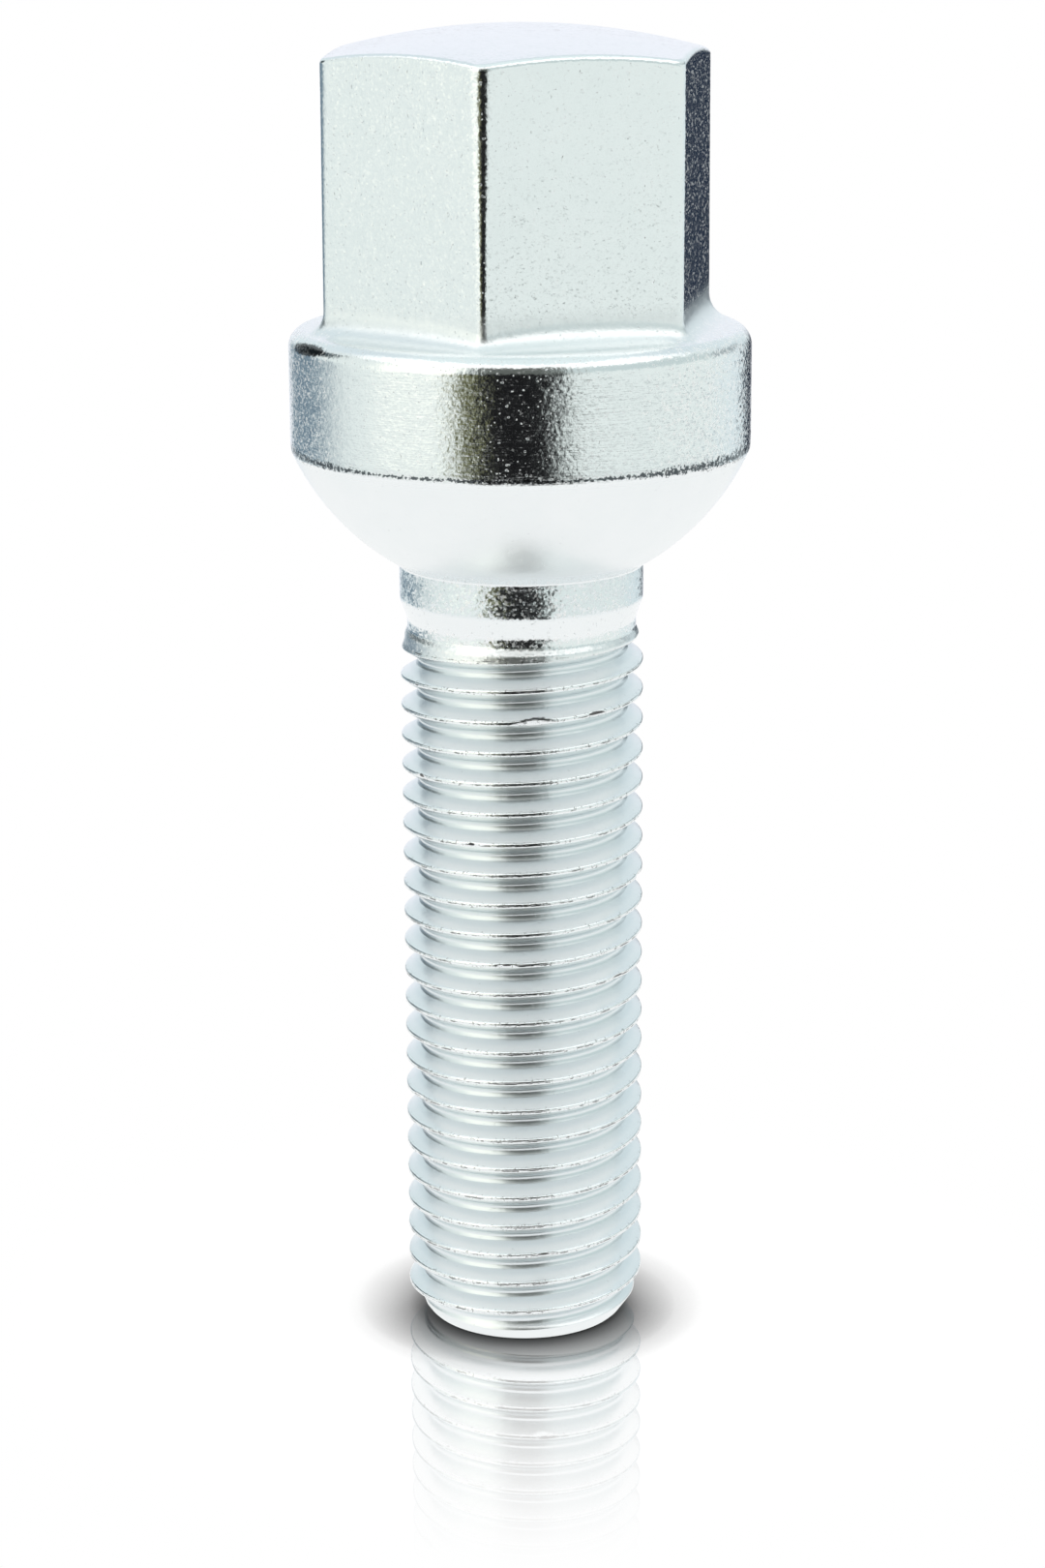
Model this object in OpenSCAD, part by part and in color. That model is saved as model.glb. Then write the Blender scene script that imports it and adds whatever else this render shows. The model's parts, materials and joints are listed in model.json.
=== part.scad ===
// Wheel bolt: hexagon head with a domed top, a collar, a ball seat and a fine metric thread.
// It is one piece of steel, forged and thread-rolled. Z is its axis, and z = 0 is the flat
// thread end that it stands on. All sizes are millimetres.

/* [Thread] */
// Diameter over the thread crests
crest_d = 11.8; // [11.4:0.05:12.4]
// Diameter at the bottom of the thread grooves
root_d = 10.16; // [9.8:0.02:10.6]
// Rise of the thread in one turn
pitch = 1.5; // [1.25:0.25:2]
// Diameter of the flat end face
end_face_d = 9.7; // [8:0.1:9.8]
// Slope of the end bevel, measured from the axis
end_bevel_angle = 36; // [25:1:50]
// Height over which the last turn fades into the blank
runout_len = 1.6; // [0.8:0.1:3]
// Turn about the axis at which the crest line leaves the end face
thread_start_angle = 185; // [0:1:359]

/* [Shank] */
// Length from the thread end to the ball seat
under_head_len = 38.5; // [20:0.5:55]
// Diameter of the plain land below the ball seat
land_d = 11.8; // [11.5:0.05:12.4]
// Length of the plain land
land_len = 1.7; // [0.8:0.1:5]
// Length of the cone between the land and the thread blank
cone_len = 0.95; // [0.4:0.05:2]
// Diameter of the blank that the thread is rolled on
blank_d = 11.1; // [10.8:0.05:11.3]
// Length of plain blank between the cone and the thread
blank_len = 0.35; // [0.3:0.05:2]

/* [Seat and collar] */
// Radius of the ball seat
seat_r = 12; // [11.6:0.1:14]
// Diameter of the collar
collar_d = 22; // [21.4:0.1:23]
// Height of the collar above the edge of the ball seat
collar_len = 5.75; // [3:0.05:9]
// Radius of the collar's upper edge
collar_edge_r = 0.9; // [0.4:0.05:1]

/* [Head] */
// Width of the hexagon across its flats
hex_af = 16.9; // [16.5:0.05:17.2]
// Radius of the hexagon's upright corners
hex_corner_r = 0.6; // [0.3:0.05:1]
// Radius of the fillet between the hexagon and the collar
hex_fillet_r = 1.3; // [0.9:0.05:1.5]
// Height from the collar to the top of the dome
head_len = 14; // [8:0.5:20]
// Radius of the domed top
dome_r = 33.5; // [20:0.5:60]

/* [Hidden] */
$fn = 120;

crest_r = crest_d / 2;
root_r = root_d / 2;
blank_r = blank_d / 2;
land_r = land_d / 2;
collar_r = collar_d / 2;

// Heights along the axis
cone_z = under_head_len - land_len - cone_len;
thread_len = cone_z - blank_len;
seat_centre_z = under_head_len + sqrt(seat_r * seat_r - land_r * land_r);
collar_z = seat_centre_z - sqrt(seat_r * seat_r - collar_r * collar_r);
collar_top_z = collar_z + collar_len;
bolt_len = collar_top_z + head_len;

// Thread grid: steps in one turn, and the turn's rows from one crest to the next, each with its
// height as a share of the pitch and its depth as a share of the groove's depth
turn_steps = 36;
row_heights = [-0.06, 0.06, 0.38, 0.5, 0.62];
row_depths = [0, 0, 0.94, 1, 0.94];
turn_rows = len(row_heights);
step_rise = pitch / turn_steps;
// The grid ends inside the blank, which stands this much proud of the faded thread
blank_step = 0.05;
top_steps = ceil((thread_len + blank_len / 2) / step_rise);
row_count = turn_rows * (ceil(top_steps / turn_steps) + 3);

// Where a rounding or fillet meets a flat it crosses it at this small angle
meet_angle = 8;

// Hexagon: half its width, and the distance from the axis of a corner's rounding centre and tip
flat_r = hex_af / 2;
corner_centre_r = (flat_r - hex_corner_r * cos(meet_angle)) / cos(30);
corner_tip_r = corner_centre_r + hex_corner_r;
// How far the blend from a corner to the collar starts inside the corner
corner_sink = 0.1;

// The blend from a corner to the collar is a hollow arc that touches the collar's edge arc
edge_centre = [collar_r - collar_edge_r, collar_top_z - collar_edge_r];
blend_x = corner_tip_r - corner_sink + hex_fillet_r;
blend_z = edge_centre[1] + sqrt(pow(hex_fillet_r + collar_edge_r, 2) - pow(blend_x - edge_centre[0], 2));
blend_centre = [blend_x, blend_z];

// The fillet from a flat to the collar's top
fillet_centre = [flat_r + hex_fillet_r * cos(meet_angle), collar_top_z + hex_fillet_r];

function within(low, value, high) = min(max(value, low), high);

// A row's height in steps where the grid starts its turn
function row_steps(row) =
    (floor(row / turn_rows) - 1) * turn_steps + round(row_heights[row % turn_rows] * turn_steps);

// The last row that is still under the end face, and the first that is over the grid's top
function low_row(column) = max([for (row = [0:row_count - 1]) if (row_steps(row) + column <= 0) row]);
function high_row(column) =
    min([for (row = [0:row_count - 1]) if (row_steps(row) + column >= top_steps) row]);

function grid_radius(z, depth) =
    let (
        full = crest_r - depth * (crest_r - root_r),
        faded = blank_r - blank_step,
        share = within(0, (thread_len - z) / runout_len, 1)
    )
    min(faded + (full - faded) * share, end_face_d / 2 + z * tan(end_bevel_angle));

function grid_point(column, row) =
    let (
        z = within(0, row_steps(row) + column, top_steps) * step_rise,
        radius = grid_radius(z, row_depths[row % turn_rows]),
        angle = thread_start_angle + 360 * column / turn_steps
    )
    [radius * cos(angle), radius * sin(angle), z];

module thread() {
    low = [for (column = [0:turn_steps - 1]) low_row(column)];
    high = [for (column = [0:turn_steps - 1]) high_row(column)];
    // A turn on, the same line of the grid is as many rows further up in the first column
    function index(column, row) =
        let (
            on = column == turn_steps,
            place = on ? 0 : column,
            line = on ? row + turn_rows : row
        )
        place * row_count + within(low[place], line, high[place]);
    side = [
        for (column = [0:turn_steps - 1], row = [0:row_count - turn_rows - 2])
            let (
                a = index(column, row),
                b = index(column + 1, row),
                c = index(column + 1, row + 1),
                d = index(column, row + 1)
            )
            each [if (a != b && b != c) [a, c, b], if (c != d && d != a) [a, d, c]]
    ];
    bottom = [for (column = [0:turn_steps - 1]) index(column, 0)];
    top = [for (column = [turn_steps - 1:-1:0]) index(column, row_count - turn_rows - 1)];
    polyhedron(
        points = [for (column = [0:turn_steps - 1], row = [0:row_count - 1]) grid_point(column, row)],
        faces = concat(side, [bottom, top])
    );
}

module collar_edge_cut() {
    difference() {
        translate(edge_centre) square(2 * collar_edge_r);
        translate(edge_centre) circle(collar_edge_r);
    }
}

module corner_blend_section() {
    difference() {
        polygon([[0, edge_centre[1]], edge_centre, blend_centre, [0, blend_z]]);
        translate(blend_centre) circle(hex_fillet_r);
    }
}

// Half section of everything between the thread and the hexagon
module turned_section() {
    polygon([
        [0, thread_len],
        [blank_r, thread_len],
        [blank_r, cone_z],
        [land_r, cone_z + cone_len],
        [land_r, under_head_len + land_len],
        [0, under_head_len + land_len]
    ]);
    difference() {
        intersection() {
            translate([0, seat_centre_z]) circle(seat_r);
            square([collar_r, collar_top_z]);
        }
        collar_edge_cut();
    }
    corner_blend_section();
}

module flat_fillet_section() {
    translate(fillet_centre) circle(hex_fillet_r);
    translate([fillet_centre[0], collar_top_z]) square([collar_r, 2 * hex_fillet_r]);
    translate(fillet_centre - [hex_fillet_r, 0]) square([collar_r, hex_fillet_r]);
}

module turned_body() {
    difference() {
        rotate_extrude() turned_section();
        for (i = [0:5])
            rotate([90, 0, 60 * i])
                translate([0, 0, -collar_r]) linear_extrude(2 * collar_r) flat_fillet_section();
    }
}

// The hexagon's outline: a plain hexagon, kept where its flats' slabs and corner circles cover it
module hex_section() {
    rotate(30)
        intersection() {
            circle(flat_r / cos(30), $fn = 6);
            union() {
                for (i = [0:2]) rotate(60 * i + 30) square([3 * flat_r, corner_centre_r], center = true);
                for (i = [0:5]) rotate(60 * i) translate([corner_centre_r, 0]) rotate(180) circle(hex_corner_r);
            }
        }
}

module hex_head() {
    intersection() {
        translate([0, 0, edge_centre[1]]) linear_extrude(head_len + 2 * collar_edge_r) hex_section();
        translate([0, 0, bolt_len - dome_r]) sphere(dome_r);
    }
}

module wheel_bolt() {
    color("silver") {
        thread();
        turned_body();
        hex_head();
    }
}

wheel_bolt();
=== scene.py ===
"""Looks for the wheel bolt: one plated steel piece on a pale floor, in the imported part's frame."""

import json
import math

import bpy
import numpy as np
from mathutils import Matrix, Vector


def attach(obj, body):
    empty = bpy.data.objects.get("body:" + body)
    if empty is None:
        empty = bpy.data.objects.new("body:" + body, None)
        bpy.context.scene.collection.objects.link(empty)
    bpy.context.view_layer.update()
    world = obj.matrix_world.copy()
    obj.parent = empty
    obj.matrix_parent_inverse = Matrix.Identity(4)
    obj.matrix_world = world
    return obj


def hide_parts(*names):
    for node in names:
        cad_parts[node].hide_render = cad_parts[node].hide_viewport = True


MM = 0.001
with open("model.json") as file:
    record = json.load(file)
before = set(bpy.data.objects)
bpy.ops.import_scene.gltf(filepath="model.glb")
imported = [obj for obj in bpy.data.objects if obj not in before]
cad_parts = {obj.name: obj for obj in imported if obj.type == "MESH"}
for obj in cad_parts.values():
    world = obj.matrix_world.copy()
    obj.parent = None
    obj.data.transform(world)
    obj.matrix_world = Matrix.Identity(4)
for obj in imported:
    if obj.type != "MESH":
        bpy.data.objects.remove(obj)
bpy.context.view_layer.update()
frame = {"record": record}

# Sizes in millimetres. Radii that the bolt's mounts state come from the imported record, and the
# other sizes are the same as in the part's source.
MOUNTS = {mount["name"]: mount["dims"] for mount in frame["record"]["mounts"]}
CREST_R = MOUNTS["thread"]["r_mm"]
LAND_R = MOUNTS["plain_land"]["r_mm"]
SEAT_R = MOUNTS["ball_seat"]["r_mm"]
FLAT_R = MOUNTS["hex_drive"]["r_mm"]
ROOT_R = 5.08
PITCH = 1.5
START_ANGLE = 185
BEVEL_ANGLE = 36
BLANK_R = 5.55
CONE_Z = 35.85
CONE_TOP_Z = 36.8
LAND_TOP_Z = 38.5
COLLAR_R = 11
COLLAR_LEN = 5.75
EDGE_R = 0.9
FILLET_R = 1.3
HEAD_LEN = 14
DOME_R = 33.5
SEAT_Z = LAND_TOP_Z + math.sqrt(SEAT_R**2 - LAND_R**2)
COLLAR_TOP_Z = SEAT_Z - math.sqrt(SEAT_R**2 - COLLAR_R**2) + COLLAR_LEN
BOLT_LEN = COLLAR_TOP_Z + HEAD_LEN
DOME_Z = BOLT_LEN - DOME_R

# The photograph's view, solved from the thread's crests and grooves: angles in degrees, the
# camera's distance and height in millimetres, and the focal length and frame in pixels
CAMERA_TURN = 10.2
CAMERA_PITCH = 15.0287
CAMERA_ROLL = 0.3209
CAMERA_DISTANCE = 165.7
CAMERA_HEIGHT = 71.8
FOCAL_LENGTH = 3607.8
FRAME_HEIGHT = 1620
# The long side of the camera's sensor, which the frame's height fills
SENSOR_MM = 36
# Angle of the camera's side about the bolt's axis, from +X
CAMERA_SIDE = CAMERA_TURN - 90

# Columns of the mesh round the bolt. The head has eight steps round each corner and sixteen along
# each flat.
COLUMNS = 144
SECTOR_STEPS = COLUMNS // 6
CORNER_STEPS = 8
# The head's column that the thread's first column runs into
HEAD_COLUMN = 66
EVEN_ANGLES = START_ANGLE + np.arange(COLUMNS) * 360 / COLUMNS
HEAD_INDEX = (np.arange(COLUMNS) + HEAD_COLUMN) % COLUMNS
SECTOR = HEAD_INDEX // SECTOR_STEPS
STEP = HEAD_INDEX % SECTOR_STEPS
ON_CORNER = STEP <= CORNER_STEPS
FLAT_SHARE = np.clip((STEP - CORNER_STEPS) / (SECTOR_STEPS - CORNER_STEPS), 0, 1)
NORMAL_ANGLE = np.radians(60 * SECTOR + np.where(ON_CORNER, 60 * STEP / CORNER_STEPS, 60))
NORMAL = np.stack([np.cos(NORMAL_ANGLE), np.sin(NORMAL_ANGLE)], -1)

# Rows of one thread turn, as heights from the crest's edge in shares of the pitch
ROW_SHARES = [
    -0.525, -0.487, -0.45, -0.412, -0.375, -0.355, -0.27, -0.19, -0.141, -0.116, -0.094, -0.073,
    -0.043, -0.013, 0.012, 0.038, 0.066, 0.095, 0.14, 0.2, 0.307, 0.345, 0.39, 0.433,
]
# The groove's bottom lies this share of the pitch below a crest's edge. Its arc has this radius,
# and reaches this far to each side.
ROOT_SHARE = 0.525
GROOVE_R = 0.29
GROOVE_REACH = 0.25
# The flanks' rise for each millimetre along the axis. The roundings at the crest start at these
# heights from the crest's edge, and have these radii.
FLANK_SLOPE = 1.7
UPPER_START = -0.02
UPPER_R = 0.07
LOWER_START = -0.11
LOWER_R = 0.06
# The crests stay this far inside the CAD model's
CREST_INSET = 0.006
# The thread's grid is cut off at these heights, and its end bevel starts at this radius
THREAD_LOW_Z = 0.12
THREAD_HIGH_Z = 35.42
BEVEL_LOW_R = 4.85
# Run-out of the thread: it goes down to the shoulder's radius between the first two heights, and
# on to the blank's radius between the other two. The shoulder's radius and the height of its end
# are this much more at the camera's side, and this much less behind.
SHOULDER_R = 5.68
SHOULDER_HEIGHTS = (34.0, 34.9)
BLANK_HEIGHTS = (34.95, 35.4)
RUNOUT_TILT = 0.1
# Between these heights, a groove's depth goes down to none
LAST_GROOVE_HEIGHTS = (34.7, 35.3)
# Soft edge of the end face: radius and height of its rings
END_RINGS = [(4.87, 0.055), (4.83, 0.02), (4.77, 0.0), (4.2, 0.0), (3.0, 0.0), (1.5, 0.0)]

# Height of the crest's edge at the camera's side, at the top of the thread
TOP_CREST_Z = 33.396
# Small dents of the crest: angle from the camera's side, turn down from the top, half width in
# degrees, and how far the crest's edge moves up
DENTS = [
    (6.0, 1, 7.5, 0.13), (37.0, 1, 4.0, 0.16), (-56.0, 3, 3.0, 0.12), (-25.0, 5, 3.0, 0.12),
    (-8.0, 9, 3.0, 0.10), (52.0, 10, 4.0, 0.10), (-62.0, 14, 5.0, 0.10), (9.0, 19, 3.5, 0.09),
    (150.0, 4, 6.0, 0.12), (120.0, 11, 5.0, 0.10), (205.0, 16, 6.0, 0.12), (75.0, 7, 4.0, 0.10),
]
# Each dent has this depth at this share of its rise, this slope, and this reach up and down
DENT_DEPTH = 0.05
DENT_MIDDLE = 0.4
DENT_SLOPE = 0.45
DENT_REACH = 0.3
# Dark nicks on the crest, and last a painted dark reflection on the collar's edge: angle from the
# camera's side, height, half length, half height, and whether only the outline is dark
NICKS_AND_PAINTED_REFLECTION = [
    (6.0, 31.90, 0.74, 0.17, True),
    (37.0, 32.03, 0.40, 0.09, False),
    (-56.0, 28.64, 0.20, 0.09, False),
    (-25.0, 25.77, 0.16, 0.08, False),
    (-8.0, 19.84, 0.20, 0.06, False),
    (52.0, 18.58, 0.34, 0.05, False),
    (9.0, 4.91, 0.26, 0.06, False),
    (150.0, 28.0, 0.40, 0.10, False),
    (-140.0, 16.3, 0.50, 0.12, True),
    # The last row is a painted dark reflection on the collar's upper edge, not a scuff
    (-65.0, 49.38, 1.75, 0.26, False),
]

# Radius of the small hollow between the land and the ball
HOLLOW_R = 0.16
# The collar's side leans in over its lowest half millimetre, down to a small rounding, which
# meets the ball at its own slope
LEAN = math.radians(6.5)
LEAN_LEN = 0.55
LEAN_R = COLLAR_R - LEAN_LEN * math.tan(LEAN) / 2
ROUND_SLOPE = math.radians(24)
ROUND_R = 0.25
ROUND_CENTRE_R = LEAN_R - ROUND_R * math.cos(LEAN)
BALL_END = math.asin((ROUND_CENTRE_R + ROUND_R * math.cos(ROUND_SLOPE)) / SEAT_R)
COLLAR_ROWS = (45.2, 46.2, 47.2, 48.2, 48.7)
# Radius and height of the centre of the collar's upper rounding
EDGE_CENTRE_R = COLLAR_R - EDGE_R
EDGE_CENTRE_Z = COLLAR_TOP_Z - EDGE_R

# The hexagon's corners have one radius up to the first height, and reach the other at the second
CORNER_R = 0.50
CORNER_TOP_R = 0.90
CORNER_HEIGHTS = (50.5, 63.0)
# How much tighter the fillet is at each corner, as a share of the most that it can be
CORNER_TIGHTNESS = np.array([0.2, 0.6, 0.6, 0.3, 1.0, 0.8])
MOST_TIGHTENING = 0.42
# Radius of the soft rim under the dome
RIM_R = 0.33


def smooth(low, high, value):
    """A smooth step from 0 to 1 while the value goes from low to high."""
    t = np.clip((value - low) / (high - low), 0, 1)
    return t * t * (3 - 2 * t)


class Surface:
    """Points and faces of the bolt's one closed mesh, which grows ring by ring."""

    def __init__(self):
        self.points = []
        self.faces = []

    def ring(self, points):
        """Adds a ring of points, and returns their numbers."""
        first = len(self.points)
        self.points.extend(map(tuple, points))
        return list(range(first, first + len(points)))

    def band(self, low, high):
        """Adds the faces between two rings."""
        count = len(low)
        for here in range(count):
            there = (here + 1) % count
            self.faces.append((low[here], low[there], high[there], high[here]))

    def grow(self, ring, points):
        """Adds a ring above another one, with the faces between them, and returns it."""
        above = self.ring(points)
        self.band(ring, above)
        return above

    def fan(self, ring, centre, upward):
        """Closes a ring with triangles to a middle point."""
        middle = len(self.points)
        self.points.append(centre)
        for here in range(len(ring)):
            there = (here + 1) % len(ring)
            face = (ring[here], ring[there], middle)
            self.faces.append(face if upward else face[::-1])


def flank(distance, edge_r):
    """Depth at a distance along the axis from where an edge's rounding starts."""
    rounded = distance**2 / (2 * edge_r)
    straight = FLANK_SLOPE * distance - edge_r * FLANK_SLOPE**2 / 2
    return np.where(distance < edge_r * FLANK_SLOPE, rounded, straight)


def groove_depth(height):
    """Depth below the crest at a height above (or, if negative, below) the crest's edge."""
    upper = flank(np.maximum(height - UPPER_START, 0), UPPER_R)
    lower = flank(np.maximum(LOWER_START - height, 0), LOWER_R)
    depth = np.maximum(upper, lower)
    from_root = np.where(height > 0, (1 - ROOT_SHARE) * PITCH - height, ROOT_SHARE * PITCH + height)
    arc = CREST_R - ROOT_R - GROOVE_R + np.sqrt(np.maximum(GROOVE_R**2 - from_root**2, 0))
    return np.where(np.abs(from_root) < GROOVE_REACH, arc, depth)


def runout_radius(z, side):
    """How far out the thread may reach where its last turn fades into the blank.

    side goes from 1 at the camera's side to -1 behind."""
    shoulder = SHOULDER_R + RUNOUT_TILT * side
    start, end = SHOULDER_HEIGHTS
    radius = CREST_R + (shoulder - CREST_R) * smooth(start, end + RUNOUT_TILT * side, z)
    return radius + (BLANK_R - shoulder) * smooth(*BLANK_HEIGHTS, z)


def dented(radius, z, angle):
    """The thread's radius with the dents of its crest pressed in."""
    for at, turns, half_width, rise in DENTS:
        off = (angle - CAMERA_SIDE - at + 180) % 360 - 180
        dent_z = TOP_CREST_Z - PITCH * turns + PITCH * at / 360 + PITCH * off / 360
        window = np.exp(-((off / half_width) ** 4))
        facet = CREST_R - DENT_DEPTH + DENT_SLOPE * (z - dent_z - rise * DENT_MIDDLE)
        pressed = (np.abs(z - dent_z) < DENT_REACH) & (facet < radius)
        radius = np.where(pressed, radius + (facet - radius) * window, radius)
    return radius


def thread_radius(z, angle):
    """Radius of the thread's surface at a height and at an angle in degrees."""
    turn = (angle - START_ANGLE) / 360
    share = z / PITCH - turn
    near = np.floor(share + ROOT_SHARE)
    share = share - near
    # Height of the bottom of the groove that this point is in
    groove_z = (near + turn) * PITCH + np.where(share >= 0, 1 - ROOT_SHARE, -ROOT_SHARE) * PITCH
    cut = 1 - smooth(*LAST_GROOVE_HEIGHTS, groove_z)
    radius = CREST_R - CREST_INSET - groove_depth(share * PITCH) * cut
    side = np.cos(np.radians(angle - CAMERA_SIDE))
    radius = dented(np.minimum(radius, runout_radius(z, side)), z, angle)
    return np.minimum(radius, BEVEL_LOW_R + z * math.tan(math.radians(BEVEL_ANGLE)))


def thread_column(surface, column, row_z):
    """Numbers of the points of one upright line of the grid, which is cut off at both ends."""
    heights = row_z + PITCH * column / COLUMNS
    low = int(np.max(np.where(heights <= THREAD_LOW_Z)))
    high = int(np.min(np.where(heights >= THREAD_HIGH_Z)))
    z = np.clip(heights[low:high + 1], THREAD_LOW_Z, THREAD_HIGH_Z)
    angle = START_ANGLE + 360 * column / COLUMNS
    radius = thread_radius(z, angle)
    a = math.radians(angle)
    points = surface.ring(np.stack([radius * math.cos(a), radius * math.sin(a), z], -1))
    return np.array(points)[np.clip(np.arange(len(row_z)), low, high) - low]


def thread_faces(surface, grid):
    """Faces between the grid's columns. The last column meets the first one turn further up."""
    per_turn = len(ROW_SHARES)
    for column in range(COLUMNS):
        here = grid[column]
        there = grid[column + 1] if column + 1 < COLUMNS else np.roll(grid[0], -per_turn)
        for row in range(len(here) - per_turn - 1):
            corners = [int(v) for v in (here[row], there[row], there[row + 1], here[row + 1])]
            face = [v for k, v in enumerate(corners) if v != corners[k - 1]]
            if len(set(face)) == len(face) and len(face) > 2:
                surface.faces.append(tuple(face))


def thread_grid(surface):
    """The helical thread, cut off flat at both ends. Returns its lowest and highest ring."""
    turns = int(math.ceil(THREAD_HIGH_Z / PITCH)) + 3
    turn_z = (np.repeat(np.arange(turns), len(ROW_SHARES)) - 1) * PITCH
    row_z = turn_z + np.tile(ROW_SHARES, turns) * PITCH
    grid = np.array([thread_column(surface, column, row_z) for column in range(COLUMNS)])
    thread_faces(surface, grid)
    return grid[:, 0].tolist(), grid[:, -1].tolist()


def turned_ring(radius, z, angles):
    """Points of a level circle, at angles in degrees."""
    a = np.radians(angles)
    return np.stack([radius * np.cos(a), radius * np.sin(a), np.full(len(a), z)], -1)


def end_face(surface, ring):
    """The flat face that the bolt stands on."""
    for radius, z in END_RINGS:
        below = surface.ring(turned_ring(radius, z, EVEN_ANGLES))
        surface.band(below, ring)
        ring = below
    surface.fan(ring, (0, 0, 0), upward=False)


def corner_centres(sector, corner_r):
    """Centres of the roundings at the hexagon's corners."""
    a = np.radians(30 + 60 * sector)
    reach = (FLAT_R - corner_r) / math.cos(math.radians(30))
    return reach[:, None] * np.stack([np.cos(a), np.sin(a)], -1)


def outline(corner_r):
    """The hexagon's outline, with a corner radius for each column."""
    here = corner_centres(SECTOR, corner_r) + corner_r[:, None] * NORMAL
    following = corner_centres(SECTOR + 1, corner_r) + corner_r[:, None] * NORMAL
    share = (0.5 - 0.5 * np.cos(np.pi * FLAT_SHARE))[:, None]
    return here * (1 - share) + following * share


def corner_radius(z):
    """The forged corners are tighter near the collar and softer towards the top."""
    softness = smooth(*CORNER_HEIGHTS, np.broadcast_to(np.asarray(z, float), (COLUMNS,)))
    return CORNER_R + (CORNER_TOP_R - CORNER_R) * softness


def fillet_radius():
    """The hexagon's fillet is tighter at its corners, most of all at the front one."""
    here, following = CORNER_TIGHTNESS[SECTOR % 6], CORNER_TIGHTNESS[(SECTOR + 1) % 6]
    near = 1 - smooth(0, 0.5, FLAT_SHARE)
    far = 1 - smooth(0, 0.5, 1 - FLAT_SHARE)
    return FILLET_R - MOST_TIGHTENING * (here * near + following * far)


def turn_between(start, end, share):
    """Unit vectors between two sets of unit vectors, at a share of the angle."""
    dot = np.clip((start * end).sum(-1, keepdims=True), -1, 1)
    angle = np.arccos(dot)
    sine = np.maximum(np.sin(angle), 1e-9)
    return (np.sin((1 - share) * angle) * start + np.sin(share * angle) * end) / sine


def with_z(plane, z):
    """Points or vectors of a plane, with a height added."""
    heights = np.broadcast_to(np.asarray(z, float), (len(plane),))
    return np.concatenate([plane, heights[:, None]], -1)


class Fillet:
    """The hexagon's fillet: a ball that rolls on the collar's top and on its rounded edge."""

    def __init__(self):
        self.radius = fillet_radius()
        centre_xy = outline(corner_radius(CORNER_HEIGHTS[0])) + self.radius[:, None] * NORMAL
        centre_r = np.linalg.norm(centre_xy, axis=-1)
        self.radial = centre_xy / centre_r[:, None]
        over = np.maximum(centre_r - EDGE_CENTRE_R, 0)
        reach = EDGE_R + self.radius
        self.centre_z = EDGE_CENTRE_Z + np.sqrt(reach**2 - over**2)
        self.centre = with_z(centre_xy, self.centre_z)
        sine = over / reach
        self.to_edge = with_z(-self.radial * sine[:, None], -np.sqrt(1 - sine**2))
        # Where the ball touches the collar, measured outwards from the start of its rounded edge
        on_edge = EDGE_R * np.arcsin(sine)
        self.contact = np.where(over > 0, on_edge, centre_r - EDGE_CENTRE_R)

    def collar_top(self, share):
        """Points of the collar's top and edge, from the fillet (0) out to the side (1)."""
        along = self.contact + (EDGE_R * math.pi / 2 - self.contact) * share
        a = np.maximum(along, 0) / EDGE_R
        radius = EDGE_CENTRE_R + np.minimum(along, 0) + EDGE_R * np.sin(a)
        return with_z(self.radial * radius[:, None], EDGE_CENTRE_Z + EDGE_R * np.cos(a))

    def points(self, share):
        """Points of the fillet, from the hexagon (0) out to the collar (1)."""
        inward = with_z(-NORMAL, 0)
        return self.centre + self.radius[:, None] * turn_between(inward, self.to_edge, share)


def neck_section():
    """Radius and height of the plain blank, the cone and the land, with softened edges."""
    cone = [(0.012, -0.01), (0.045, 0.10), (0.13, 0.35), (0.22, 0.60), (0.30, 0.82), (0.332, 0.92)]
    section = [(BLANK_R, CONE_Z - 0.25), (BLANK_R, CONE_Z - 0.11)]
    section += [(BLANK_R + out, CONE_Z + up) for out, up in cone]
    section += [(LAND_R - 0.003, CONE_TOP_Z + 0.06), (LAND_R, CONE_TOP_Z + 0.15)]
    return section + [(LAND_R, LAND_TOP_Z - 1.0), (LAND_R, LAND_TOP_Z - 0.4)]


def hollow_section():
    """The small hollow between the land and the ball."""
    centre_r = LAND_R + HOLLOW_R
    centre_z = SEAT_Z - math.sqrt((SEAT_R + HOLLOW_R) ** 2 - centre_r**2)
    last = math.atan2(SEAT_Z - centre_z, -centre_r)
    angles = math.pi + (last - math.pi) * np.linspace(0, 1, 4)
    return [(centre_r + HOLLOW_R * math.cos(a), centre_z + HOLLOW_R * math.sin(a)) for a in angles]


def collar_section():
    """The small rounding over the ball, the stretch that leans in, and the collar's side."""
    section = []
    round_z = SEAT_Z - SEAT_R * math.cos(BALL_END) + ROUND_R * math.sin(ROUND_SLOPE)
    for share in (0.33, 0.67, 1):
        a = ROUND_SLOPE + (LEAN - ROUND_SLOPE) * share
        section.append((ROUND_CENTRE_R + ROUND_R * math.cos(a), round_z - ROUND_R * math.sin(a)))
    lean_z = section[-1][1]
    for share in (0.15, 0.3, 0.45, 0.6, 0.8, 1):
        radius = COLLAR_R - (COLLAR_R - LEAN_R) * (1 - share) ** 2
        section.append((radius, lean_z + LEAN_LEN * share))
    return section + [(COLLAR_R, z) for z in COLLAR_ROWS]


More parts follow.
